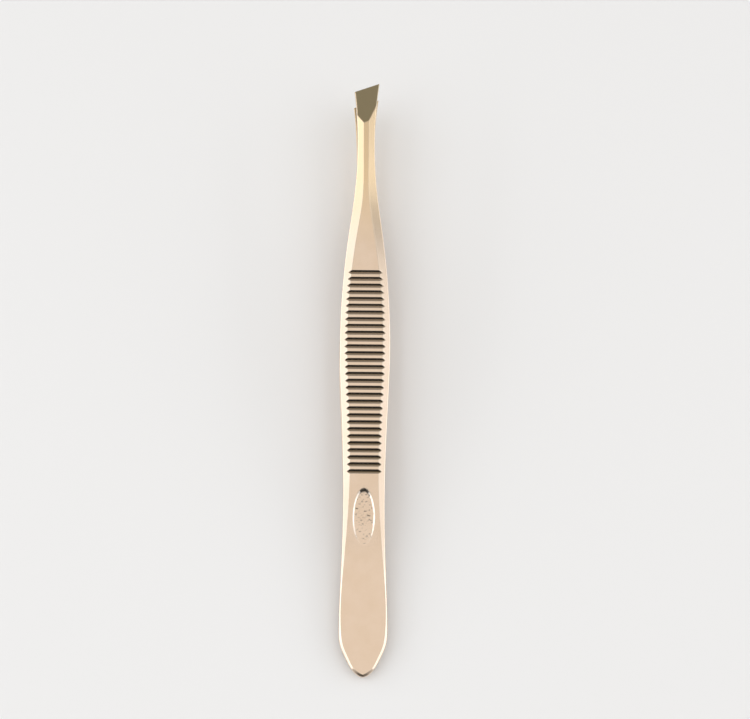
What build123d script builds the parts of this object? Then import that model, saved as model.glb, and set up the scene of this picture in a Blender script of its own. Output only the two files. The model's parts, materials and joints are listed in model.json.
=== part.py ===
from build123d import *
import os
from math import asin, atan, cos, degrees, radians, sin, sqrt, tan

# Slant tweezers: two mirrored spring leaves, spot welded face to face at the heel.
#
# Each leaf is drawn in the frame of the pair: x across, y from the heel point to the tip and
# z away from the plane midway between the leaves. That mid-plane is tilted, tip up, so that
# the lower leaf rests on z = 0 with the flat of its belly.

# ---- driving dimensions, in millimetres and degrees ----

length = 95.0  # heel point to the longer corner of the slanted tip

# widths across the leaf, and where along it they stand
heel_width, heel_station = 7.7, 7.0  # widest part of the pointed heel
waist_width, waist_station = 6.6, 28.0  # narrow part between heel and grip
grip_width, grip_station = 8.0, 50.7  # widest part of the grip
neck_width = 2.8  # parallel neck behind the tip
tip_width = 4.2  # across the flared tip
flare_length = 10.0  # from the neck to the longer corner
neck_length = 1.0  # parallel part of the neck

# thickness of the leaf
spring_thickness = 0.8
grip_thickness = 1.5
tip_thickness = 1.75  # before the tip is ground

# the outer face bends away from the weld, bows back over the grip and ends nearly parallel
weld_end = 12.0  # the leaves touch up to here
bend_end = 21.0
shank_end = 39.0
belly_start = 42.3  # the belly is flat, and the tweezers lie on it
belly_end = 51.0
tip_straight = 38.5  # last stretch, with no bow
shank_slope = 8.6
belly_slope = 4.6
tip_slope = 0.6

# bevelled flanks beside the flat of the outer face
flank_fall = 0.38  # fall for each unit of width
heel_flank, waist_flank, grip_flank = 0.4, 0.95, 1.25
neck_flat = 0.8  # width of the flat that is left on the neck

# cross grooves of the grip
groove_count = 30
groove_pitch = 1.09
groove_width = 0.64
groove_depth = 0.2
first_groove = 31.95

# slanted and ground tip
slant = 19.0
facet_slant = 25.0  # the grinding wheel stands a little steeper across
facet_length = 5.95  # along the axis, on the outer face
facet_fall = 0.24
jaw_length = 3.0  # flat on the inner face that meets the other leaf

# oval stamping near the heel
oval_width, oval_length, oval_depth = 3.25, 7.6, 0.15
oval_station = 25.3

# spot welds between the leaves
weld_radius, weld_height = 1.2, 0.6
weld_stations = (5.0, 9.5)

# where the rigid model of the spring hinges, and its clearances
hinge_station = 17.0
hinge_gap = 0.1  # between the heel part and the arm of one leaf
closed_gap = 0.04  # between the jaws when the tips are pressed together

reach = grip_width  # half the size of the cutting solids, past every edge


# ---- the curve of a face, seen from the side ----


def bowed(height, slope_changes):
    """Points (station, height, slope) of a smooth chain of lines and arcs from the heel."""
    points = [(0.0, height, 0.0)]
    for station, slope_degrees in slope_changes:
        last_station, last_height, last_slope = points[-1]
        slope = radians(slope_degrees)
        rise = (station - last_station) * tan((last_slope + slope) / 2)
        points.append((station, last_height + rise, slope))
    return points


def on_face(points, station):
    """Height and slope of the chain at a station."""
    for start, end in zip(points, points[1:]):
        if station <= end[0]:
            break
    share = (station - start[0]) / (end[0] - start[0])
    slope = asin(sin(start[2]) + share * (sin(end[2]) - sin(start[2])))
    return start[1] + (station - start[0]) * tan((start[2] + slope) / 2), slope


def draw_face(points):
    """Draws the chain in the current BuildLine."""
    for start, end in zip(points, points[1:]):
        if start[2] == end[2]:
            Line(start[:2], end[:2])
        else:
            TangentArc(start[:2], end[:2], tangent=(cos(start[2]), sin(start[2])))


tip_start = length - tip_straight
face_stations = (weld_end, bend_end, shank_end, belly_start, belly_end, tip_start, length)
outer_slopes = (0, shank_slope, shank_slope, belly_slope, belly_slope, tip_slope, tip_slope)

# the inner face diverges less, so that the leaf thickens evenly up to the grip and the tip
shank_run = (belly_start - weld_end + shank_end - bend_end) / 2
tip_run = (tip_start - belly_end) / 2 + tip_straight
shank_taper = degrees(atan((grip_thickness - spring_thickness) / shank_run))
tip_taper = degrees(atan((tip_thickness - grip_thickness) / tip_run))
tapers = (0, shank_taper, shank_taper, 0, 0, tip_taper, tip_taper)
inner_slopes = [slope - taper for slope, taper in zip(outer_slopes, tapers)]

outer_face = bowed(spring_thickness, zip(face_stations, outer_slopes))
inner_face = bowed(0.0, zip(face_stations, inner_slopes))

# ---- the plane midway between the leaves, as the tweezers lie ----

tilt = radians(belly_slope)
belly_height, _ = on_face(outer_face, belly_start)
belly_drop = belly_height * cos(tilt) - belly_start * sin(tilt)
heel_drop = spring_thickness * cos(tilt)
lift = max(belly_drop, heel_drop)  # from the floor to the mid-plane at the heel point

tip_height = on_face(inner_face, length)[0]
heel_end_y = -spring_thickness * sin(tilt)
tip_end_y = length * cos(tilt) + tip_height * sin(tilt)
middle_y = (heel_end_y + tip_end_y) / 2

middle = Plane(origin=(0, -middle_y, lift), x_dir=(1, 0, 0), z_dir=(0, -sin(tilt), cos(tilt)))
side = Plane(origin=middle.origin, x_dir=middle.y_dir, z_dir=middle.x_dir)


def place(station, height):
    """The point of the tilted pair at a station and height, on the centre line."""
    return middle.from_local_coords((0, station, height))


def plane_facing(station, height, normal):
    """A plane on the centre line with a normal given across, along and out of the leaf."""
    x, y, z = normal
    z_dir = middle.x_dir * x + middle.y_dir * y + middle.z_dir * z
    x_dir = middle.x_dir - z_dir * (x / z_dir.length**2)
    return Plane(origin=place(station, height), x_dir=x_dir, z_dir=z_dir)


# ---- the outline, seen from above ----


def between(start, end, along, across):
    """A point part of the way from one outline point to the next."""
    return (
        start[0] + along * (end[0] - start[0]),
        start[1] + across * (end[1] - start[1]),
    )


# each point is (station, half width)
neck_end = length - flare_length
heel_point = (0.0, 0.0)
heel = (heel_station, heel_width / 2)
waist = (waist_station, waist_width / 2)
grip = (grip_station, grip_width / 2)
neck = (neck_end - neck_length, neck_width / 2)

heel_outline = [
    heel_point,
    between(heel_point, heel, 0.15, 0.43),
    between(heel_point, heel, 0.42, 0.72),
    between(heel_point, heel, 0.70, 0.935),
    heel,
]
side_outline = [
    heel,
    between(heel, waist, 0.48, 0.58),
    waist,
    between(waist, grip, 0.5, 0.4),
    grip,
    between(grip, neck, 0.335, 0.155),
    between(grip, neck, 0.56, 0.46),
    between(grip, neck, 0.735, 0.77),
    neck,
]
neck_flank = (neck_width - neck_flat) / 2
side_flanks = [
    heel_flank,
    heel_flank,
    waist_flank,
    grip_flank,
    grip_flank,
    grip_flank,
    1.1 * grip_flank,
    1.15 * grip_flank,
    neck_flank,
]

# half width of the flat between the flanks, at the same stations
flat_outline = [(station, half - 1.15 * heel_flank) for station, half in heel_outline[:-1]]
flat_outline += [
    (station, half - flank) for (station, half), flank in zip(side_outline, side_flanks)
]
flat_outline += [(neck_end, neck_flat / 2), (length, neck_flat / 2)]

# the ridge that each flank falls from, over the centre line
ridge = [
    (station, on_face(outer_face, station)[0] + flank_fall * half)
    for station, half in flat_outline
]

# slanted end and ground facet
turn = radians(slant)
facet_turn = radians(facet_slant)
axis_end = length - tip_width / 2 * tan(turn)  # where the slanted edge crosses the centre line
facet_start = axis_end - facet_length
facet_height, facet_slope = on_face(outer_face, facet_start)
facet_lean = facet_fall - tan(facet_slope)

# the arm turns about the middle of the leaf's thickness until the jaws are almost together
hinge_height = (on_face(outer_face, hinge_station)[0] + on_face(inner_face, hinge_station)[0]) / 2
jaw_start = axis_end - jaw_length
jaw_rise = on_face(inner_face, jaw_start)[0] - closed_gap / 2 - hinge_height
jaw_run = jaw_start - hinge_station
closing = atan(jaw_rise / jaw_run) + asin(
    (hinge_height) / sqrt(jaw_rise**2 + jaw_run**2)
)
jaw_lift = closed_gap / 2


def right_half(outline):
    """The outline's points with the half width to the right."""
    return [(half, station) for station, half in outline]


# ---- one leaf, as it comes from the press and the grinding wheel ----

with BuildPart() as leaf:
    # strip, bowed and thinned towards the heel
    with BuildSketch(side):
        with BuildLine():
            draw_face(outer_face)
            Line(outer_face[-1][:2], inner_face[-1][:2])
            draw_face(inner_face)
            Line(inner_face[0][:2], outer_face[0][:2])
        make_face()
    extrude(amount=reach, both=True)

    # outline, symmetrical up to the longer corner of the tip
    with BuildSketch(middle):
        with BuildLine():
            Spline(*right_half(heel_outline), tangents=[(1, 0), (0, 1)])
            Spline(*right_half(side_outline), tangents=[(0, 1), (0, 1)])
            Line((neck[1], neck[0]), (neck[1], neck_end))
            TangentArc((neck[1], neck_end), (tip_width / 2, length), tangent=(0, 1))
            Line((tip_width / 2, length), (0, length))
            mirror(about=Plane.YZ)
        make_face()
    extrude(amount=length, mode=Mode.INTERSECT)

    # bevelled flanks: the fall away from the centre line is the same everywhere
    for hand in (1, -1):
        with BuildSketch(side):
            with BuildLine():
                Spline(*ridge)
                Polyline(ridge[-1], (length, -length), (0, -length), ridge[0])
            make_face()
        extrude(
            amount=2 * reach,
            dir=middle.x_dir * hand - middle.z_dir * flank_fall,
            both=True,
            mode=Mode.INTERSECT,
        )

    # slanted end of the tip
    split(bisect_by=plane_facing(axis_end, 0, (-sin(turn), cos(turn), 0)), keep=Keep.BOTTOM)

    # ground facet of the outer face, its edge across the leaf a little steeper than the slant
    split(
        bisect_by=plane_facing(
            facet_start,
            facet_height,
            (-sin(facet_turn) * facet_lean, cos(facet_turn) * facet_lean, 1),
        ),
        keep=Keep.BOTTOM,
    )

    # jaw of the inner face, which lies on the mid-plane when the tips are pressed together
    split(
        bisect_by=plane_facing(hinge_station, jaw_lift, (0, -sin(closing), cos(closing))),
        keep=Keep.TOP,
    )

    # cross grooves: a V of even depth, which runs out to a point on each flank
    with BuildSketch(side):
        for number in range(groove_count):
            station = first_groove + number * groove_pitch
            height, slope = on_face(outer_face, station)
            with Locations(Location((station, height, 0), (0, 0, degrees(slope)))):
                Polygon(
                    (0, -groove_depth),
                    (groove_width, groove_depth),
                    (-groove_width, groove_depth),
                    align=None,
                )
    extrude(amount=reach, both=True, mode=Mode.SUBTRACT)

    # oval stamping
    height, slope = on_face(outer_face, oval_station)
    with BuildSketch(plane_facing(oval_station, height, (0, -sin(slope), cos(slope)))):
        Ellipse(oval_width / 2, oval_length / 2)
    extrude(amount=oval_depth, both=True, mode=Mode.SUBTRACT)

    # room for the weld metal
    for station in weld_stations:
        with Locations(plane_facing(station, 0, (0, 0, 1))):
            Cylinder(weld_radius, weld_height, mode=Mode.SUBTRACT)

# ---- the pieces ----

with BuildPart() as upper_leaf_heel:
    add(leaf.part)
    split(bisect_by=plane_facing(hinge_station, 0, (0, 1, 0)), keep=Keep.BOTTOM)

with BuildPart() as upper_leaf_arm:
    add(leaf.part)
    split(bisect_by=plane_facing(hinge_station + hinge_gap, 0, (0, 1, 0)), keep=Keep.TOP)

with BuildPart() as lower_leaf_heel:
    mirror(upper_leaf_heel.part, about=middle)

with BuildPart() as lower_leaf_arm:
    mirror(upper_leaf_arm.part, about=middle)

with BuildPart() as weld_nuggets:
    for station in weld_stations:
        with Locations(plane_facing(station, 0, (0, 0, 1))):
            Cylinder(weld_radius, weld_height)

# ---- export ----

upper_leaf_heel.part.label = "upper_leaf_heel"
upper_leaf_arm.part.label = "upper_leaf_arm"
lower_leaf_heel.part.label = "lower_leaf_heel"
lower_leaf_arm.part.label = "lower_leaf_arm"
weld_nuggets.part.label = "weld_nuggets"

os.makedirs("parts", exist_ok=True)
export_step(upper_leaf_heel.part, "parts/upper_leaf_heel.step")
export_step(upper_leaf_arm.part, "parts/upper_leaf_arm.step")
export_step(lower_leaf_heel.part, "parts/lower_leaf_heel.step")
export_step(lower_leaf_arm.part, "parts/lower_leaf_arm.step")
export_step(weld_nuggets.part, "parts/weld_nuggets.step")
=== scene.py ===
"""Slant tweezers: two plated spring leaves, their welds, and a plain studio around them."""

import json
import math

import bmesh
import bpy
import numpy as np
from bpy.props import FloatProperty, FloatVectorProperty, IntProperty, PointerProperty
from bpy.props import StringProperty
from mathutils import Matrix, Vector, noise


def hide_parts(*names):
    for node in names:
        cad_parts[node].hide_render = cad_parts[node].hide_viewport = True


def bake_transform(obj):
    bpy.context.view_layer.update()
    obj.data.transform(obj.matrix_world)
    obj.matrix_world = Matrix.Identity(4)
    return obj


bl_info = {
    "name": "Slant Tweezers",
    "version": (1, 0, 0),
    "blender": (4, 5, 0),
    "location": "3D View > Sidebar > Tweezers",
    "description": "Builds the plated leaves of slant tweezers around their CAD frame",
    "category": "Add Mesh",
}

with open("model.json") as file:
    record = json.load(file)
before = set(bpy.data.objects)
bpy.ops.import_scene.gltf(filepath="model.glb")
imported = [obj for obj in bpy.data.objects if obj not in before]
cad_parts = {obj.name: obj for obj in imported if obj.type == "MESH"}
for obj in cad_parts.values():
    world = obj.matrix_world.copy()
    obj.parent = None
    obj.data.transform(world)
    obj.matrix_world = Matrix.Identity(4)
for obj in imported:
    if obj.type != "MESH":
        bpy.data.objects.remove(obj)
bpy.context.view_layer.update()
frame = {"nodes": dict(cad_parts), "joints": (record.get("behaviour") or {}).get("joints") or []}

MM = 0.001  # Blender works in metres

# rows of a leaf's mesh: their spacing, and how far the fine ones reach around the facet's edge
HEEL_ROW, NECK_ROW, FACET_ROW, EDGE_ROW = 0.35 * MM, 0.4 * MM, 0.2 * MM, 0.07 * MM
BEFORE_EDGE, AFTER_EDGE = 1.4 * MM, 0.6 * MM
# between these distances from the facet, the rows turn to the slant of the tip
LEAN_START, LEAN_END = 6 * MM, 1.5 * MM
# limits of the rounded edges and of the flat, as shares of a narrow or thin section
CORNER_OF_WIDTH, CORNER_OF_THICKNESS, TIP_OF_THICKNESS = 0.3, 0.35, 0.3
FLAT_LEAST, FLAT_MOST = 0.15, 0.97
WALL_STEPS = (0.06, 0.35, 0.65, 0.94)  # rows of the side wall, from the outer face inwards
JOIN_REACH = 0.0004 * MM  # points of the heel's centre line that are closer are one point

# the studio's colours and ways, seen from above
WARM, WHITE, COOL, OLIVE = "FFF3EA", "FFFDF8", "F2F7FF", "E8E2CE"
LEFT, RIGHT, HEELWARD, TIPWARD = (-1, 0), (1, 0), (0, -1), (0, 1)


# ---- sizes and colours that a user would change ----


def distance(name, description, millimetres):
    """A length property, stored in metres."""
    return FloatProperty(
        name=name,
        description=description,
        default=millimetres * MM,
        precision=5,
        unit="LENGTH",
        subtype="DISTANCE",
    )


def angle(name, description, degrees):
    """An angle property, stored in radians."""
    return FloatProperty(
        name=name,
        description=description,
        default=math.radians(degrees),
        unit="ROTATION",
        subtype="ANGLE",
    )


def share(name, description, value):
    """A property without a unit."""
    return FloatProperty(name=name, description=description, default=value, precision=3)


def colour(name, description, hex_colour):
    """A colour property that is written as an sRGB hex value."""
    return StringProperty(name=name, description=description, default=hex_colour)


class LeafSizes(bpy.types.PropertyGroup):
    """Sizes of one leaf, as it comes from the press and the grinding wheel."""

    length: distance("Length", "Heel point to the longer corner of the tip", 95)
    heel_width: distance("Heel width", "Widest part of the pointed heel", 7.7)
    heel_station: distance("Heel station", "Where the heel is widest", 7)
    waist_width: distance("Waist width", "Narrow part between heel and grip", 6.6)
    waist_station: distance("Waist station", "Where the waist is narrowest", 28)
    grip_width: distance("Grip width", "Widest part of the grip", 8)
    grip_station: distance("Grip station", "Where the grip is widest", 50.7)
    neck_width: distance("Neck width", "Parallel neck behind the tip", 2.8)
    neck_length: distance("Neck length", "Parallel part of the neck", 1)
    tip_width: distance("Tip width", "Across the flared tip", 4.2)
    flare_length: distance("Flare length", "From the neck to the longer corner", 10)

    spring_thickness: distance("Spring thickness", "Steel at the heel", 0.8)
    grip_thickness: distance("Grip thickness", "Steel at the grip", 1.5)
    tip_thickness: distance("Tip thickness", "Steel at the tip before it is ground", 1.75)

    weld_end: distance("Weld end", "The leaves touch up to here", 12)
    bend_end: distance("Bend end", "End of the bend away from the weld", 21)
    shank_end: distance("Shank end", "End of the straight shank", 39)
    belly_start: distance("Belly start", "Start of the flat belly", 42.3)
    belly_end: distance("Belly end", "End of the flat belly", 51)
    tip_straight: distance("Tip straight", "Last stretch, with no bow", 38.5)
    shank_slope: angle("Shank slope", "Slope of the outer face along the shank", 8.6)
    belly_slope: angle("Belly slope", "Slope of the outer face along the belly", 4.6)
    tip_slope: angle("Tip slope", "Slope of the outer face behind the tip", 0.6)

    flank_fall: share("Flank fall", "Fall of a flank for each unit of width", 0.38)
    edge_fall: share("Edge fall", "The same where the flank is only a narrow bevel", 0.62)
    nose_length: distance("Nose length", "The bevel flattens over this much of the heel", 2.5)
    heel_flank: distance("Heel flank", "Width of the flank at the heel", 0.4)
    waist_flank: distance("Waist flank", "Width of the flank at the waist", 0.95)
    grip_flank: distance("Grip flank", "Width of the flank at the grip", 1.25)
    neck_flat: distance("Neck flat", "Flat that is left on the neck", 0.8)

    groove_count: IntProperty(
        name="Grooves", description="Number of cross grooves", default=30, min=1
    )
    groove_pitch: distance("Groove pitch", "From one groove to the next", 1.09)
    groove_width: distance("Groove width", "Width of a groove at the face", 0.64)
    groove_depth: distance("Groove depth", "Depth of a groove", 0.2)
    first_groove: distance("First groove", "Station of the groove next to the heel", 31.95)

    slant: angle("Slant", "Angle of the tip's edge", 19)
    facet_slant: angle("Facet slant", "Angle of the facet's edge across the leaf", 25)
    facet_length: distance("Facet length", "Ground facet on the outer face", 5.95)
    facet_fall: share("Facet fall", "Fall of the facet along the leaf", 0.24)
    stoned_width: distance("Stoned width", "Bevel along the facet's shorter side", 0.2)

    oval_width: distance("Oval width", "Width of the oval stamping", 3.25)
    oval_length: distance("Oval length", "Length of the oval stamping", 8.5)
    oval_depth: distance("Oval depth", "Depth of the oval stamping", 0.15)
    oval_station: distance("Oval station", "Middle of the oval stamping", 24.85)
    oval_wall: distance("Oval wall", "How far the stamping's wall leans out", 0.3)
    oval_fade: share("Oval fade", "Share of the depth that is lost towards the heel", 1.0)
    fade_start: share("Fade start", "Where that starts, in half lengths from the middle", 0.15)

    hinge_station: distance("Hinge station", "Where the CAD leaf hinges", 17)
    closed_gap: distance("Closed gap", "Between the jaws when the tips are pressed", 0.04)

    edge_round: distance("Edge rounding", "Tumbled edge of the outline", 0.13)
    inner_round: distance("Inner rounding", "Edge beside the inner face", 0.08)
    crease_round: distance("Crease rounding", "Soft band where two faces meet", 0.022)
    tip_round: distance("Tip rounding", "Stoned edge of the slanted tip", 0.04)
    pit_depth: distance("Pit depth", "Depth of the pits in the stamping's floor", 0.05)
    pit_spacing: distance("Pit spacing", "From one pit to the next", 0.36)

    # the shares below paint paler metal along creases, groove rims, the facet's edge and the
    # outline: partly wear, partly a painted highlight
    crease_wear_and_highlight: share("Crease wear", "Wear of the crease between flat and flank", 0.2)
    groove_rim_wear_and_highlight: share("Groove wear", "Wear of a groove's rim", 0.3)
    facet_edge_wear_and_highlight: share("Facet wear", "Wear of the facet's edge across the leaf", 0.5)
    edge_wear_and_highlight: share("Edge wear", "Wear of the outline's rounded edge", 0.7)
    edge_wear_and_highlight_reach: share("Edge wear reach", "How far that wear reaches, in edge radii", 1.6)


class PlatingColours(bpy.types.PropertyGroup):
    """Colours of the plating, the steel and the board as sRGB hex values, and where they show."""

    plating: colour("Plating", "Champagne plating on a smooth face", "EBD5BE")
    plating_deep: colour("Deep plating", "Where the plating lies thicker", "E8D1B8")
    # painted reflection: from the neck to the tip the plating is painted yellower, standing in
    # for the dim olive side that the neck's flat faces
    neck: colour("Neck", "Yellower plating from the neck to the tip", "EFD3AB")
    neck_start: distance("Neck start", "Where the plating starts to turn yellower", 68)
    neck_end: distance("Neck end", "Where it is as yellow as it gets", 79)
    # painted shade: the bottoms of the grooves are painted browner, standing in for the shade in
    # them
    groove: colour("Groove", "Plating at the bottom of a groove", "B79A78")
    groove_shade_share: share("Groove share", "How far a groove's bottom takes that colour", 0.25)
    # paler metal along edges, creases, groove rims and the stamping's walls: partly wear, partly
    # a painted highlight
    wear_and_highlight: colour("Worn edge", "Plating rubbed thin along an edge", "FAF0E2")
    wear_and_highlight_share: share("Worn share", "How far a fully worn edge takes that colour", 0.6)
    facet: colour("Facet", "Plating over the ground steel of the tip", "E3D3B4")
    weld: colour("Weld", "Bare fused steel", "8F8D8A")
    floor: colour("Floor", "Painted board under the tweezers", "F1EFEC")


class StudioSizes(bpy.types.PropertyGroup):
    """The floor, the camera and the lights."""

    floor_size: distance("Floor size", "Side of the square board", 8000)
    view_elevation: angle("View elevation", "Camera above the horizon", 73.35)
    view_side: angle("View side", "Camera leaning to the left of the tweezers", 1.0)
    view_roll: angle("View roll", "Camera rolled about its axis", 0.2)
    view_distance: distance("View distance", "Camera to its target", 450)
    lens: FloatProperty(
        name="Lens", description="Focal length in millimetres", default=136.75, subtype="UNSIGNED"
    )
    target: FloatVectorProperty(
        name="Target",
        description="Point the camera looks at",
        default=(1.6 * MM, 1.82 * MM, 9.02 * MM),
        subtype="XYZ",
        unit="LENGTH",
        precision=5,
    )
    overhead: share("Overhead light", "Brightness of the panel above", 0.4)
    sides: share("Side lights", "Brightness of the panels left and right", 0.98)
    right_share: share("Right share", "Brightness of the right panel beside the left one", 0.72)
    edges: share("Edge lights", "Brightness of the low panels that light the bevels", 1.2)
    fill: share("Fill light", "Brightness of the light that only the floor shows", 0.3)
    room: share("Room light", "Brightness of the room around the panels", 0.55)


# ---- the shape of a leaf: x across, s along from the heel point, z out of the pair ----


def bowed(height, slope_changes):
    """Rows (station, height, slope) of a smooth chain of lines and arcs from the heel."""
    rows = [(0.0, height, 0.0)]
    for station, slope in slope_changes:
        last_station, last_height, last_slope = rows[-1]
        rise = (station - last_station) * math.tan((last_slope + slope) / 2)
        rows.append((station, last_height + rise, slope))
    return np.array(rows)


def on_face(chain, stations):
    """Heights and slopes of the chain at the stations."""
    stations = np.asarray(stations, float)
    last = np.clip(np.searchsorted(chain[:, 0], stations), 1, len(chain) - 1)
    start, end = chain[last - 1], chain[last]
    along = (stations - start[..., 0]) / (end[..., 0] - start[..., 0])
    sines = np.sin(start[..., 2]) + along * (np.sin(end[..., 2]) - np.sin(start[..., 2]))
    slopes = np.arcsin(sines)
    rises = (stations - start[..., 0]) * np.tan((start[..., 2] + slopes) / 2)
    return start[..., 1] + rises, slopes


def smooth_line(points, first_way, last_way, count=400):
    """Points along a smooth curve through the given ones, with a given way out and way in."""
    points = np.array(points, float)
    steps = np.linalg.norm(np.diff(points, axis=0), axis=1)
    knots = np.concatenate(([0], np.cumsum(steps)))
    matrix = np.eye(len(points))
    ways = np.zeros_like(points)
    ways[0], ways[-1] = first_way, last_way
    for i in range(1, len(points) - 1):
        before, after = steps[i - 1], steps[i]
        matrix[i, i - 1 : i + 2] = after, 2 * (before + after), before
        jumps = (points[i] - points[i - 1]) / before * after
        ways[i] = 3 * (jumps + (points[i + 1] - points[i]) / after * before)
    ways = np.linalg.solve(matrix, ways)
    at = np.linspace(0, knots[-1], count)
    i = np.clip(np.searchsorted(knots, at, side="right") - 1, 0, len(steps) - 1)
    u = ((at - knots[i]) / steps[i])[:, None]
    size = steps[i][:, None]
    return (
        (1 + 2 * u) * (1 - u) ** 2 * points[i]
        + u * (1 - u) ** 2 * size * ways[i]
        + u**2 * (3 - 2 * u) * points[i + 1]
        + u**2 * (u - 1) * size * ways[i + 1]
    )


def between(start, end, along, across):
    """A point part of the way from one outline point to the next."""
    return start[0] + along * (end[0] - start[0]), start[1] + across * (end[1] - start[1])


def lower_of(first, second, band):
    """The lower of two heights, with a soft band where they cross."""
    mix = np.clip(0.5 + 0.5 * (second - first) / band, 0, 1)
    return second * (1 - mix) + first * mix - band * mix * (1 - mix)


def crossing(first, second, band):
    """1 where two heights cross, falling to 0 a few bands away."""
    return np.exp(-(((first - second) / band) ** 2))


def ease(share_done):
    """Smooth step from 0 to 1."""
    share_done = np.clip(share_done, 0, 1)
    return share_done**2 * (3 - 2 * share_done)


def rounding(radius, inset):
    """How far a rounded edge of the radius drops at each inset from the edge."""
    left = np.clip(radius - inset, 0, radius)
    return radius - np.sqrt(np.maximum(radius**2 - left**2, 0))


class LeafShape:
    """The faces of one leaf, worked out from its sizes."""

    def __init__(self, sizes):
        self.sizes = sizes
        tip_start = sizes.length - sizes.tip_straight
        stations = (
            sizes.weld_end,
            sizes.bend_end,
            sizes.shank_end,
            sizes.belly_start,
            sizes.belly_end,
            tip_start,
            sizes.length,
        )
        shank, belly, tip = sizes.shank_slope, sizes.belly_slope, sizes.tip_slope
        outer_slopes = (0, shank, shank, belly, belly, tip, tip)

        # the inner face diverges less, so that the leaf thickens up to the grip and the tip
        shank_run = (sizes.belly_start - sizes.weld_end + sizes.shank_end - sizes.bend_end) / 2
        tip_run = (tip_start - sizes.belly_end) / 2 + sizes.tip_straight
        shank_taper = math.atan((sizes.grip_thickness - sizes.spring_thickness) / shank_run)
        tip_taper = math.atan((sizes.tip_thickness - sizes.grip_thickness) / tip_run)
        tapers = (0, shank_taper, shank_taper, 0, 0, tip_taper, tip_taper)
        inner_slopes = [slope - taper for slope, taper in zip(outer_slopes, tapers)]
        self.outer = bowed(sizes.spring_thickness, zip(stations, outer_slopes))
        self.inner = bowed(0, zip(stations, inner_slopes))

        self.turn = math.tan(sizes.slant)
        self.axis_end = sizes.length - sizes.tip_width / 2 * self.turn
        self.facet_start = self.axis_end - sizes.facet_length
        self.closing = math.radians(frame["joints"][0]["range_deg"][1])
        self.outline, self.flat = self.outlines()

    def outlines(self):
        """Points (station, half width) of the leaf and of the flat between its flanks."""
        sizes = self.sizes
        neck_end = sizes.length - sizes.flare_length
        point = (0, 0)
        heel_flank, grip_flank = sizes.heel_flank, sizes.grip_flank
        heel = (sizes.heel_station, sizes.heel_width / 2)
        waist = (sizes.waist_station, sizes.waist_width / 2)
        grip = (sizes.grip_station, sizes.grip_width / 2)
        neck = (neck_end - sizes.neck_length, sizes.neck_width / 2)
        end = [
            point,
            between(point, heel, 0.15, 0.43),
            between(point, heel, 0.42, 0.72),
            between(point, heel, 0.70, 0.935),
            heel,
        ]
        sides = [
            heel,
            between(heel, waist, 0.48, 0.58),
            waist,
            between(waist, grip, 0.5, 0.4),
            grip,
            between(grip, neck, 0.335, 0.155),
            between(grip, neck, 0.56, 0.46),
            between(grip, neck, 0.735, 0.77),
            neck,
        ]
        # the flanks widen a little before they run out into the neck
        flanks = [
            heel_flank,
            heel_flank,
            sizes.waist_flank,
            grip_flank,
            grip_flank,
            grip_flank,
            1.1 * grip_flank,
            1.15 * grip_flank,
            (sizes.neck_width - sizes.neck_flat) / 2,
        ]
        out, along = (0, 1), (1, 0)
        flare = np.linspace(0, sizes.flare_length, 30)
        spread = (sizes.tip_width - sizes.neck_width) / 2
        radius = (spread**2 + sizes.flare_length**2) / (2 * spread)
        arc = radius - np.sqrt(radius**2 - flare**2)
        outline = np.vstack(
            (
                smooth_line(end, out, along),
                smooth_line(sides, along, along)[1:],
                np.column_stack((neck_end + flare, neck[1] + arc)),
            )
        )
        flat = [(station, half - 1.15 * heel_flank) for station, half in end[:-1]]
        flat += [(station, half - flank) for (station, half), flank in zip(sides, flanks)]
        flat += [(neck_end, sizes.neck_flat / 2), (sizes.length, sizes.neck_flat / 2)]
        way_out = np.array(flat[1]) - np.array(flat[0])
        return outline, smooth_line(flat, way_out / np.linalg.norm(way_out), along)

    def half_width(self, stations):
        """Half the leaf's width at the stations."""
        return np.interp(stations, self.outline[:, 0], self.outline[:, 1])

    def half_flat(self, stations):
        """Half the width of the flat between the flanks."""
        return np.interp(stations, self.flat[:, 0], self.flat[:, 1])

    def groove_stations(self):
        """The stations of the grooves' bottoms."""
        sizes = self.sizes
        return sizes.first_groove + sizes.groove_pitch * np.arange(sizes.groove_count)

    def outer_heights(self, x, s):
        """Heights of the outer face, and its painted wear and highlight, how deep in a groove and
        how ground it is.
        """
        sizes = self.sizes
        band = sizes.crease_round
        heights, _ = on_face(self.outer, s)
        narrow = ease((sizes.waist_station - s) / (sizes.waist_station - sizes.heel_station))
        narrow *= ease(s / sizes.nose_length)
        fall = sizes.flank_fall + narrow * (sizes.edge_fall - sizes.flank_fall)
        ridge = heights + fall * (self.half_flat(s) - np.abs(x))
        # the crease is painted paler, as are the grooves' rims and the facet's edge below: partly
        # wear, partly a painted highlight
        wear_and_highlight = sizes.crease_wear_and_highlight * crossing(heights, ridge, band)
        face = lower_of(heights, ridge, band)

        # cross grooves: a V that runs out to a point on each flank
        bottoms = self.groove_stations()
        number = np.round((s - sizes.first_groove) / sizes.groove_pitch).astype(int)
        nearest = bottoms[np.clip(number, 0, sizes.groove_count - 1)]
        bottom, slope = on_face(self.outer, nearest)
        away = s - nearest
        steepness = 2 * sizes.groove_depth / sizes.groove_width
        valley = np.sqrt(away**2 + band**2)
        groove = bottom + np.tan(slope) * away - sizes.groove_depth + steepness * valley
        # how deep in a groove a point lies, which the plating uses to paint shade into the
        # grooves
        grooved = np.clip((face - groove) / sizes.groove_depth, 0, 1)
        wear_and_highlight = np.maximum(wear_and_highlight, sizes.groove_rim_wear_and_highlight * crossing(face, groove, band))
        face = lower_of(face, groove, band)

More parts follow.
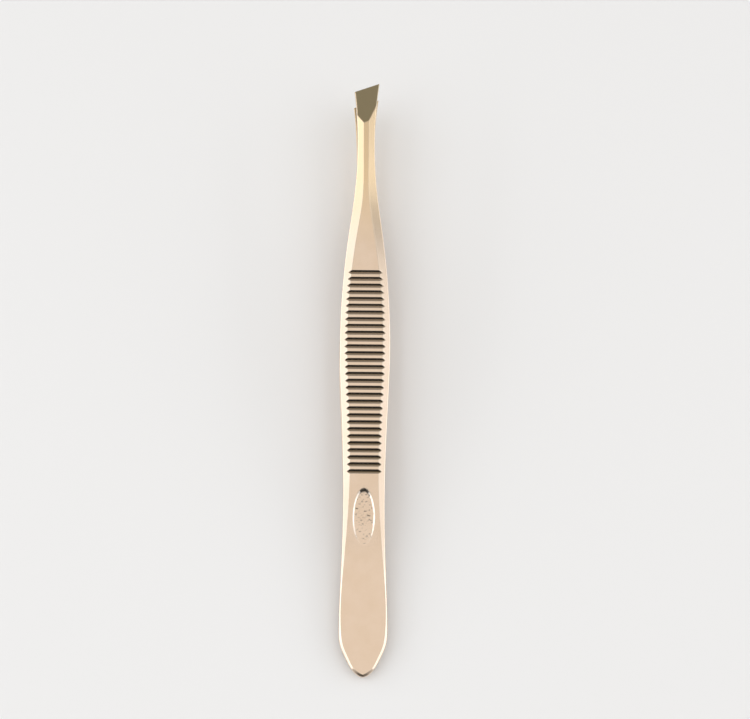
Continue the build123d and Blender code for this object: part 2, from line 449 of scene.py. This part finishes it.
        # ground facet behind the slanted edge
        top, slope = on_face(self.outer, self.facet_start)
        lean = sizes.facet_fall - math.tan(slope)
        turn = sizes.facet_slant
        facet = top - lean * ((s - self.facet_start) * math.cos(turn) - x * math.sin(turn))
        ground = np.clip((face - facet) / band, 0, 1)
        wear_and_highlight = np.maximum(wear_and_highlight, sizes.facet_edge_wear_and_highlight * crossing(face, facet, band))
        face = lower_of(face, facet, band)

        # the facet's edge on the shorter side is stoned to a narrow bevel
        from_edge = self.half_width(s) + x
        bevel = np.clip(sizes.stoned_width - from_edge, 0, None) * sizes.flank_fall
        return face - ground * bevel, wear_and_highlight, grooved, ground * (from_edge > sizes.stoned_width)

    def oval_drop(self, x, s):
        """How far the oval stamping lies below the face, and the painted highlight on its sloping
        wall.

        The CAD pocket is a plain oval. This one is a little longer, runs out towards the heel
        and has pits in its floor.
        """
        sizes = self.sizes
        half_width, half_length = sizes.oval_width / 2, sizes.oval_length / 2
        along = (s - sizes.oval_station) / half_length
        reach = np.hypot(x / half_width, along)
        lean = sizes.oval_wall / half_width
        sunk = ease((1 + lean / 2 - reach) / lean)
        pits = np.zeros_like(x)
        octaves = 2
        for row, column in np.argwhere(sunk > 0):
            place = Vector((x[row, column], s[row, column], 0)) / sizes.pit_spacing
            pits[row, column] = noise.fractal(place, 1.0, 2.0, octaves)
        depth = sizes.oval_depth * (1 - sizes.oval_fade * ease(-sizes.fade_start - along))
        pit_share = np.clip(1.8 * pits - 0.25, 0, 1)  # the floor stays flat between the pits
        floor = depth + sizes.pit_depth * pit_share
        # the second value peaks halfway down the stamping's wall: a painted highlight
        return sunk * floor, 4 * sunk * (1 - sunk) * depth / sizes.oval_depth

    def inner_heights(self, s):
        """Heights of the inner face, with the jaw that lies flat when the tips close."""
        sizes = self.sizes
        heights, _ = on_face(self.inner, s)
        jaw = sizes.closed_gap / 2 + (s - sizes.hinge_station) * math.tan(self.closing)
        return -lower_of(-heights, -jaw, sizes.crease_round)

    def stations(self):
        """Stations of the mesh's rows on the centre line, closer where the shape is finer."""
        sizes = self.sizes
        sweep = np.linspace(0, math.pi / 2, 26)
        heel = sizes.heel_station * (1 - np.cos(sweep))
        # the oval's rows reach a little past its ends
        oval = sizes.oval_station + np.linspace(-0.54, 0.54, 96) * sizes.oval_length
        # a groove's rows, as shares of half the pitch, are closest at its bottom and its rim
        half_pitch = sizes.groove_pitch / 2
        shares = np.array((0, 0.08, 0.22, 0.38, 0.49, 0.56, 0.62, 0.72, 1))
        pattern = np.concatenate((-shares[:0:-1], shares)) * half_pitch
        grooves = (self.groove_stations()[:, None] + pattern[:-1]).ravel()
        after = grooves[-1] + half_pitch
        edge_start = self.facet_start - BEFORE_EDGE
        edge_end = self.facet_start + AFTER_EDGE
        sweep = np.linspace(0, math.pi / 2, 5)
        end = self.axis_end - sizes.tip_round * (1 - np.sin(sweep))
        parts = (
            heel,
            np.arange(heel[-1], oval[0], HEEL_ROW)[1:],
            oval,
            np.linspace(oval[-1], grooves[0], 6)[1:-1],
            grooves,
            np.arange(after, edge_start, NECK_ROW),
            np.arange(edge_start, edge_end, EDGE_ROW),
            np.arange(edge_end + FACET_ROW / 2, end[0] - FACET_ROW / 2, FACET_ROW),
            end,
        )
        return np.concatenate(parts)


# ---- from faces to a mesh ----


def columns(flat_count, flank_count, round_count):
    """Shares of the flat, the flank and the rounded edge for the columns of a half face."""
    flat = np.linspace(0, 1, flat_count + 1)
    flank = np.linspace(0, 1, flank_count + 1)[1:]
    edge = np.sin(np.linspace(0, math.pi / 2, round_count + 1))[1:]
    shares = np.zeros((len(flat) + len(flank) + len(edge), 3))
    shares[: len(flat), 0] = flat
    shares[len(flat) :, 0] = 1
    shares[len(flat) : len(flat) + len(flank), 1] = flank
    shares[len(flat) + len(flank) :, 1] = 1
    shares[len(flat) + len(flank) :, 2] = edge
    return shares


def both_sides(half_face):
    """Signs and shares of the columns of a whole face, from left to right."""
    signs = np.concatenate((-np.ones(len(half_face) - 1), np.ones(len(half_face))))
    return signs, np.vstack((half_face[:0:-1], half_face))


def leaf_points(shape):
    """Closed sections of one leaf from heel to tip, with their wear and painted highlight,
    grooves and facet.
    """
    sizes = shape.sizes
    rows = shape.stations()[:, None]
    to_facet = shape.facet_start - rows
    lean = ease((LEAN_START - to_facet) / (LEAN_START - LEAN_END)) * shape.turn
    inset = (shape.axis_end - rows) * math.cos(sizes.slant)

    def lay_out(half_face, edge):
        """Places of one face's columns, the half width there and the rounded corner's size."""
        signs, shares = both_sides(half_face)
        x = np.zeros((len(rows), len(signs)))
        for _ in range(4):  # the slanted rows' widths depend on where they reach
            s = rows + lean * x
            width = shape.half_width(s)
            corner = np.minimum(edge, CORNER_OF_WIDTH * width)
            most = FLAT_MOST * (width - corner)
            flat = np.clip(shape.half_flat(s), FLAT_LEAST * width, most)
            parts = shares[:, 0] * flat + shares[:, 1] * (width - corner - flat)
            x = signs * (parts + shares[:, 2] * corner)
        return x, rows + lean * x, width, corner

    def edge_drop(from_edge, corner, thickness):
        """How far the rounded outline and the stoned tip lie below the face."""
        tip = np.minimum(sizes.tip_round, TIP_OF_THICKNESS * thickness)
        return np.maximum(rounding(corner, from_edge), rounding(tip, inset))

    x, s, width, corner = lay_out(
        columns(flat_count=26, flank_count=12, round_count=4), sizes.edge_round
    )
    outer, wear_and_highlight, grooved, ground = shape.outer_heights(x, s)
    oval, rim = shape.oval_drop(x, s)
    thickness = outer - shape.inner_heights(s)
    corner = np.minimum(corner, CORNER_OF_THICKNESS * thickness)
    from_edge = width - np.abs(x)
    top = np.stack((x, s, outer - oval - edge_drop(from_edge, corner, thickness)), axis=-1)
    # at the heel's point the corner shrinks to nothing, but the reach may not be zero
    wear_and_highlight_reach = np.maximum(sizes.edge_wear_and_highlight_reach * corner, 0.001 * MM)
    wear_and_highlight = np.maximum(wear_and_highlight, sizes.edge_wear_and_highlight * np.clip(1 - from_edge / wear_and_highlight_reach, 0, 1))
    # the first mark is paler metal along the edges, partly wear and partly a painted highlight,
    # and the stamping's painted wall highlight
    top_marks = np.stack((np.maximum(wear_and_highlight, rim), grooved, ground), axis=-1)

    x, s, width, corner = lay_out(
        columns(flat_count=6, flank_count=3, round_count=4), sizes.inner_round
    )
    inner = shape.inner_heights(s)
    thickness = shape.outer_heights(x, s)[0] - inner
    corner = np.minimum(corner, CORNER_OF_THICKNESS * thickness)
    low = np.stack((x, s, inner + edge_drop(width - np.abs(x), corner, thickness)), axis=-1)
    low_marks = np.zeros_like(low)

    steps = np.array(WALL_STEPS)[:, None]
    left, right = (top[:, [i]] * (1 - steps) + low[:, [i]] * steps for i in (0, -1))
    wall_marks = np.zeros_like(left)
    points = np.concatenate((top, right, low[:, ::-1], left[:, ::-1]), axis=1)
    marks = np.concatenate((top_marks, wall_marks, low_marks, wall_marks), axis=1)
    return points, marks, top.shape[1]


def pair_plane():
    """The plane midway between the leaves: the ways along and out of it, and a point of it.

    The point is midway between the two hinges, and out is towards the upper leaf.
    """
    upper, lower = (Vector(joint["pos_m"]) for joint in frame["joints"])
    out = (upper - lower).normalized()
    along = Vector((0, out.z, -out.y))
    return along, out, (upper + lower) / 2


def build_leaf(name, sizes, side):
    """One leaf as a closed mesh; side is 1 for the upper leaf and -1 for its mirror image."""
    points, marks, top_count = leaf_points(LeafShape(sizes))
    rows, around = points.shape[:2]
    along, out, hinge = pair_plane()
    flat_points = points.reshape(-1, 3)
    places = (
        flat_points[:, :1] * np.array((1.0, 0.0, 0.0))
        + (flat_points[:, 1:2] - sizes.hinge_station) * np.array(along)
        + flat_points[:, 2:] * np.array(out) * side
        + np.array(hinge)
    )

    # quads between neighbouring sections, and one flat face that closes the slanted end
    here = np.arange(around)
    there = (here + 1) % around
    starts = np.arange(rows - 1)[:, None] * around
    quads = np.stack(
        (starts + here, starts + there, starts + around + there, starts + around + here), axis=-1
    ).reshape(-1, 4)
    if side < 0:
        quads = quads[:, ::-1]
    end = (rows - 1) * around + (here if side > 0 else here[::-1])
    mesh = bpy.data.meshes.new(name)
    mesh.from_pydata(places.tolist(), [], quads.tolist() + [end.tolist()])

    # the surface is measured in millimetres round the section and along the leaf
    steps = np.linalg.norm(np.diff(points, axis=1), axis=2)
    round_section = np.concatenate((np.zeros((rows, 1)), np.cumsum(steps, axis=1)), axis=1)
    round_section -= round_section[:, top_count // 2 : top_count // 2 + 1]
    uv = np.stack((round_section, points[..., 1]), axis=-1).reshape(-1, 2) / MM
    corners = np.zeros(len(mesh.loops), dtype=np.int32)
    mesh.loops.foreach_get("vertex_index", corners)
    layer = mesh.uv_layers.new(name="millimetres")
    layer.uv.foreach_set("vector", uv[corners].astype(np.float32).ravel())
    for index, mark in enumerate(("wear_and_highlight", "grooved", "ground")):
        attribute = mesh.attributes.new(mark, "FLOAT", "POINT")
        attribute.data.foreach_set("value", marks[..., index].ravel().astype(np.float32))

    leaf = bpy.data.objects.new(name, mesh)
    bpy.context.scene.collection.objects.link(leaf)
    close_heel(mesh)
    mesh.shade_smooth()
    mesh.set_sharp_from_angle(angle=math.radians(40))
    return leaf


def close_heel(mesh):
    """Joins the points that meet on the heel's centre line."""
    shape = bmesh.new()
    shape.from_mesh(mesh)
    bmesh.ops.remove_doubles(shape, verts=shape.verts, dist=JOIN_REACH)
    bmesh.ops.dissolve_degenerate(shape, edges=shape.edges, dist=JOIN_REACH / 2)
    bmesh.ops.recalc_face_normals(shape, faces=shape.faces)
    shape.to_mesh(mesh)
    shape.free()


# ---- materials ----


def linear(hex_colour):
    """An sRGB hex value as a linear colour with alpha."""
    channels = [int(hex_colour[i : i + 2], 16) / 255 for i in (0, 2, 4)]
    return [c / 12.92 if c <= 0.04045 else ((c + 0.055) / 1.055) ** 2.4 for c in channels] + [1]


def add_node(tree, kind, settings=None, inputs=None):
    """Adds a node, sets its properties and its sockets, and links sockets given as outputs."""
    node = tree.nodes.new(kind)
    for key, value in (settings or {}).items():
        setattr(node, key, value)
    for key, value in (inputs or {}).items():
        if isinstance(value, bpy.types.NodeSocket):
            tree.links.new(value, node.inputs[key])
        else:
            node.inputs[key].default_value = value
    return node


def new_material(name):
    """An empty node material and its tree."""
    material = bpy.data.materials.new(name)
    material.use_nodes = True
    material.node_tree.nodes.clear()
    return material, material.node_tree


# sockets of the Mix node when it mixes colours
FACTOR, FIRST, SECOND, MIXED = 0, 6, 7, 2


def champagne_plating(colours, slant):
    """Champagne gold plated over barrel-tumbled stainless steel.

    Tumbling leaves a soft satin face, so the eye sees broad reflections with blurred edges and
    a trace of fine grain. Edges, creases and groove rims are paler, partly where hands and the
    barrel rub them and partly as a painted highlight; the stamping's walls get a painted
    highlight, the neck and tip a painted yellow reflection, and the grooves' bottoms a browner
    painted shade.
    """
    material, tree = new_material("champagne plating, tumbled satin")
    place = add_node(tree, "ShaderNodeUVMap", {"uv_map": "millimetres"})
    at = place.outputs["UV"]
    wear_and_highlight = add_node(tree, "ShaderNodeAttribute", {"attribute_name": "wear_and_highlight"})
    grooved = add_node(tree, "ShaderNodeAttribute", {"attribute_name": "grooved"})
    ground = add_node(tree, "ShaderNodeAttribute", {"attribute_name": "ground"})

    # sizes of the patterns as they are drawn, in millimetres as the UV map is
    cloud_size, mark_size = 4.0, 1 / 6
    line_length, line_spacing = 1.6, 0.12

    # clouds in the plating
    clouds = add_node(
        tree, "ShaderNodeTexNoise", inputs={"Vector": at, "Scale": 1 / cloud_size, "Detail": 3.0}
    )
    cloud_share = add_node(
        tree,
        "ShaderNodeMapRange",
        inputs={"Value": clouds.outputs[0], "From Min": 0.35, "From Max": 0.65},
    )
    base = add_node(
        tree,
        "ShaderNodeMix",
        {"data_type": "RGBA"},
        {
            FACTOR: cloud_share.outputs[0],
            FIRST: linear(colours.plating),
            SECOND: linear(colours.plating_deep),
        },
    )
    # painted reflection: the plating is painted yellower on the way to the tip, for the dim olive
    # side that the neck's flat faces
    parts = add_node(tree, "ShaderNodeSeparateXYZ", inputs={"Vector": at})
    neck_reflection_share = add_node(
        tree,
        "ShaderNodeMapRange",
        inputs={
            "Value": parts.outputs["Y"],
            "From Min": colours.neck_start / MM,
            "From Max": colours.neck_end / MM,
        },
    )
    plated = add_node(
        tree,
        "ShaderNodeMix",
        {"data_type": "RGBA"},
        {
            FACTOR: neck_reflection_share.outputs[0],
            FIRST: base.outputs[MIXED],
            SECOND: linear(colours.neck),
        },
    )
    # painted shade: the bottoms of the grooves are painted browner
    groove_shade_factor = add_node(
        tree,
        "ShaderNodeMath",
        {"operation": "MULTIPLY"},
        {0: grooved.outputs["Fac"], 1: colours.groove_shade_share},
    )
    groove_shaded = add_node(
        tree,
        "ShaderNodeMix",
        {"data_type": "RGBA"},
        {
            FACTOR: groove_shade_factor.outputs[0],
            FIRST: plated.outputs[MIXED],
            SECOND: linear(colours.groove),
        },
    )
    # paler metal along edges, creases, groove rims and the stamping's walls: partly wear, partly
    # a painted highlight
    wear_and_highlight_share = add_node(
        tree,
        "ShaderNodeMath",
        {"operation": "MULTIPLY"},
        {0: wear_and_highlight.outputs["Fac"], 1: colours.wear_and_highlight_share},
    )
    worn_and_highlighted = add_node(
        tree,
        "ShaderNodeMix",
        {"data_type": "RGBA"},
        {
            FACTOR: wear_and_highlight_share.outputs[0],
            FIRST: groove_shaded.outputs[MIXED],
            SECOND: linear(colours.wear_and_highlight),
        },
    )
    tinted = add_node(
        tree,
        "ShaderNodeMix",
        {"data_type": "RGBA"},
        {
            FACTOR: ground.outputs["Fac"],
            FIRST: worn_and_highlighted.outputs[MIXED],
            SECOND: linear(colours.facet),
        },
    )

    # tumbling marks, really about 0.05 mm apart, drawn coarser so that they show
    grain = add_node(
        tree, "ShaderNodeTexNoise", inputs={"Vector": at, "Scale": 1 / mark_size, "Detail": 2.0}
    )
    # grinding lines of the facet, really about 0.03 mm apart, drawn coarser so that they show
    stretch = add_node(
        tree,
        "ShaderNodeMapping",
        {"vector_type": "TEXTURE"},
        {"Vector": at, "Rotation": (0, 0, slant), "Scale": (line_length, line_spacing, 1)},
    )
    lines = add_node(
        tree,
        "ShaderNodeTexNoise",
        inputs={"Vector": stretch.outputs[0], "Scale": 1.0, "Detail": 1.0},
    )
    relief = add_node(
        tree,
        "ShaderNodeMix",
        {"data_type": "RGBA"},
        {
            FACTOR: ground.outputs["Fac"],
            FIRST: grain.outputs["Color"],
            SECOND: lines.outputs["Color"],
        },
    )
    roughness = add_node(
        tree,
        "ShaderNodeMapRange",
        inputs={
            "Value": grain.outputs[0],
            "From Min": 0.3,
            "From Max": 0.7,
            "To Min": 0.15,
            "To Max": 0.22,
        },
    )
    bump = add_node(
        tree,
        "ShaderNodeBump",
        inputs={"Height": relief.outputs[MIXED], "Distance": 0.002 * MM, "Strength": 0.5},
    )
    surface = add_node(
        tree,
        "ShaderNodeBsdfPrincipled",
        inputs={
            "Base Color": tinted.outputs[MIXED],
            "Metallic": 1.0,
            "Roughness": roughness.outputs[0],
            "Normal": bump.outputs[0],
        },
    )
    add_node(tree, "ShaderNodeOutputMaterial", inputs={"Surface": surface.outputs[0]})
    return material


def weld_metal(colours):
    """Bare steel that a spot weld fused: dull grey, with the crystals of the cast metal."""
    material, tree = new_material("stainless steel, fused")
    place = add_node(tree, "ShaderNodeTexCoord")
    # crystals some 0.2 mm across
    crystals = add_node(
        tree,
        "ShaderNodeTexVoronoi",
        inputs={"Vector": place.outputs["Object"], "Scale": 1 / (0.2 * MM)},
    )
    roughness = add_node(
        tree,
        "ShaderNodeMapRange",
        inputs={"Value": crystals.outputs["Distance"], "To Min": 0.4, "To Max": 0.6},
    )
    surface = add_node(
        tree,
        "ShaderNodeBsdfPrincipled",
        inputs={
            "Base Color": linear(colours.weld),
            "Metallic": 1.0,
            "Roughness": roughness.outputs[0],
        },
    )
    add_node(tree, "ShaderNodeOutputMaterial", inputs={"Surface": surface.outputs[0]})
    return material


def painted_board(colours):
    """Matt painted board: pale, with a fine tooth that keeps the shadow's edge soft."""
    material, tree = new_material("painted board, matt")
    place = add_node(tree, "ShaderNodeTexCoord")
    # tooth of the paint, some 0.5 mm across
    tooth = add_node(
        tree,
        "ShaderNodeTexNoise",
        inputs={"Vector": place.outputs["Object"], "Scale": 1 / (0.5 * MM), "Detail": 2.0},
    )
    bump = add_node(
        tree,
        "ShaderNodeBump",
        inputs={"Height": tooth.outputs[0], "Distance": 0.01 * MM, "Strength": 0.3},
    )
    surface = add_node(
        tree,
        "ShaderNodeBsdfPrincipled",
        inputs={
            "Base Color": linear(colours.floor),
            "Roughness": 0.85,
            "Normal": bump.outputs[0],
        },
    )
    add_node(tree, "ShaderNodeOutputMaterial", inputs={"Surface": surface.outputs[0]})
    return material


def card_surface(name, brightness, tint):
    """A card seen only as a reflection: a black flag or a dim reflector."""
    material, tree = new_material(name)
    glow = add_node(
        tree, "ShaderNodeEmission", inputs={"Color": linear(tint), "Strength": brightness}
    )
    add_node(tree, "ShaderNodeOutputMaterial", inputs={"Surface": glow.outputs[0]})
    return material


# ---- the studio ----


def towards(lean, way):
    """A direction that leans from straight up by an angle in degrees, the given way."""
    lean = math.radians(lean)
    return Vector((*(Vector(way) * math.sin(lean)), math.cos(lean)))


def facing_centre(direction, distance_away):
    """The placing of a panel that stands away from the tweezers and faces them."""
    turn = direction.to_track_quat("Z", "Y").to_matrix().to_4x4()
    return Matrix.Translation(direction * distance_away) @ turn


def flat_sheet(name, size, material):
    """A rectangle in its own plane, round its own origin."""
    x, y = size[0] / 2, size[1] / 2
    mesh = bpy.data.meshes.new(name)
    mesh.from_pydata([(-x, -y, 0), (x, -y, 0), (x, y, 0), (-x, y, 0)], [], [(0, 1, 2, 3)])
    mesh.materials.append(material)
    sheet = bpy.data.objects.new(name, mesh)
    bpy.context.scene.collection.objects.link(sheet)
    return sheet


def softbox(name, direction, distance_away, size, brightness, tint):
    """A panel of even brightness, whatever its size, that faces the tweezers."""
    light = bpy.data.lights.new(name, "AREA")
    light.shape = "RECTANGLE"
    light.size, light.size_y = size
    light.energy = brightness * math.pi * size[0] * size[1]
    light.color = linear(tint)[:3]
    panel = bpy.data.objects.new(name, light)
    panel.matrix_world = facing_centre(direction, distance_away)
    panel.visible_camera = False
    bpy.context.scene.collection.objects.link(panel)
    return panel


def card(name, direction, distance_away, size, brightness, tint):
    """A card that faces the tweezers and shows only in their reflections."""
    board = flat_sheet(name, size, card_surface(name, brightness, tint))
    board.matrix_world = facing_centre(direction, distance_away)
    for ray in ("camera", "diffuse", "transmission", "volume_scatter", "shadow"):
        setattr(board, "visible_" + ray, False)


def hang_lights(studio):
    """The softboxes, the fill light and the cards; distances and sizes are in metres."""
    overhead, sides, edges = studio.overhead, studio.sides, studio.edges
    right_side = studio.right_share * sides
    for name, direction, distance_away, size, brightness, tint in (
        ("softbox above", towards(3, HEELWARD), 0.7, (0.42, 0.43), overhead, WARM),
        ("softbox left", towards(43, (-0.99, -0.12)), 0.7, (0.75, 0.48), sides, COOL),
        ("softbox right", towards(43, (0.97, -0.23)), 0.7, (0.64, 0.48), right_side, COOL),
        ("low softbox left", towards(67, LEFT), 0.7, (0.95, 0.28), edges, COOL),
        ("low softbox right", towards(67, RIGHT), 0.7, (0.95, 0.28), edges, COOL),
    ):
        softbox(name, direction, distance_away, size, brightness, tint)
    fill = softbox("fill above", towards(0, HEELWARD), 1.4, (1.6, 1.6), studio.fill, WHITE)
    fill.visible_glossy = False
    for name, direction, size, brightness, tint in (
        ("black flag", towards(62, HEELWARD), (0.6, 0.62), 0.03, WHITE),
        ("grey card", towards(66, TIPWARD), (1.2, 0.35), 0.3, WHITE),
        ("olive card", towards(35, (-0.24, 0.97)), (0.36, 0.22), 0.35, OLIVE),
    ):
        card(name, direction, 0.5, size, brightness, tint)


def fill_room(scene, studio):
    """An even pale room around the panels."""
    world = bpy.data.worlds.new("room")
    world.use_nodes = True
    background = world.node_tree.nodes["Background"]
    background.inputs["Color"].default_value = linear("FFFFFF")
    background.inputs["Strength"].default_value = studio.room
    scene.world = world
    scene.view_settings.view_transform = "Standard"


def place_camera(scene, studio):
    """The camera above the tweezers, rolled a little about its axis."""
    camera = bpy.data.objects.new("camera", bpy.data.cameras.new("camera"))
    camera.data.lens = studio.lens
    camera.data.clip_start = 0.01
    rise, side, roll = studio.view_elevation, studio.view_side, studio.view_roll
    across_part, up_part = math.sin(side) * math.sin(rise), math.cos(side) * math.sin(rise)
    back = Vector((-across_part, -math.cos(rise), up_part))
    up = Vector((-math.sin(roll), math.cos(roll), 0))
    across = up.cross(back).normalized()
    turn = Matrix((across, back.cross(across), back)).transposed().to_4x4()
    place = Vector(studio.target) + back * studio.view_distance
    camera.matrix_world = Matrix.Translation(place) @ turn
    scene.collection.objects.link(camera)
    scene.camera = camera


# ---- operators ----


class TWEEZERS_OT_leaves(bpy.types.Operator):
    """Build both plated leaves, which bend between the weld and the grip"""

    bl_idname = "tweezers.leaves"
    bl_label = "Build Leaves"

    def execute(self, context):
        sizes = context.scene.tweezers_leaf
        plating = champagne_plating(context.scene.tweezers_colours, sizes.slant)
        along, out, hinge = pair_plane()
        for name, side in (("upper_leaf", 1), ("lower_leaf", -1)):
            leaf = build_leaf(name, sizes, side)
            leaf.data.materials.append(plating)
            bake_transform(leaf)
            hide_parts(name + "_heel", name + "_arm")
        return {"FINISHED"}


class TWEEZERS_OT_welds(bpy.types.Operator):
    """Give the spot welds between the leaves their metal"""

    bl_idname = "tweezers.welds"
    bl_label = "Finish Welds"

    def execute(self, context):
        mesh = frame["nodes"]["weld_nuggets"].data
        mesh.materials.clear()
        mesh.materials.append(weld_metal(context.scene.tweezers_colours))
        return {"FINISHED"}


class TWEEZERS_OT_stage(bpy.types.Operator):
    """Set up the floor, the lights and the camera"""

    bl_idname = "tweezers.stage"
    bl_label = "Set Up Stage"

    def execute(self, context):
        scene = context.scene
        studio = scene.tweezers_studio
        board = painted_board(scene.tweezers_colours)
        floor = flat_sheet("floor", (studio.floor_size, studio.floor_size), board)
        hang_lights(studio)
        fill_room(scene, studio)
        place_camera(scene, studio)
        return {"FINISHED"}


class TWEEZERS_PT_panel(bpy.types.Panel):
    """Lists the tweezers' operators and sizes"""

    bl_label = "Slant Tweezers"
    bl_idname = "TWEEZERS_PT_panel"
    bl_space_type = "VIEW_3D"
    bl_region_type = "UI"
    bl_category = "Tweezers"

    def draw(self, context):
        layout = self.layout
        for operator in OPERATORS:
            layout.operator(operator.bl_idname)
        for group_name in GROUPS:
            group = getattr(context.scene, group_name)
            box = layout.box()
            box.label(text=group_name.replace("tweezers_", "").title())
            for name in group.bl_rna.properties.keys():
                if name not in ("rna_type", "name"):
                    box.prop(group, name)


OPERATORS = (TWEEZERS_OT_leaves, TWEEZERS_OT_welds, TWEEZERS_OT_stage)
GROUPS = {
    "tweezers_leaf": LeafSizes,
    "tweezers_colours": PlatingColours,
    "tweezers_studio": StudioSizes,
}
CLASSES = (*GROUPS.values(), *OPERATORS, TWEEZERS_PT_panel)


def register():
    """Adds the classes and the scene's settings."""
    for item in CLASSES:
        bpy.utils.register_class(item)
    for name, group in GROUPS.items():
        setattr(bpy.types.Scene, name, PointerProperty(type=group))


def unregister():
    """Removes the scene's settings and the classes."""
    for name in GROUPS:
        delattr(bpy.types.Scene, name)
    for item in reversed(CLASSES):
        bpy.utils.unregister_class(item)


def main():
    """Builds every piece and the stage."""
    register()
    bpy.ops.tweezers.stage()
    bpy.ops.tweezers.leaves()
    bpy.ops.tweezers.welds()


if __name__ == "__main__":
    main()
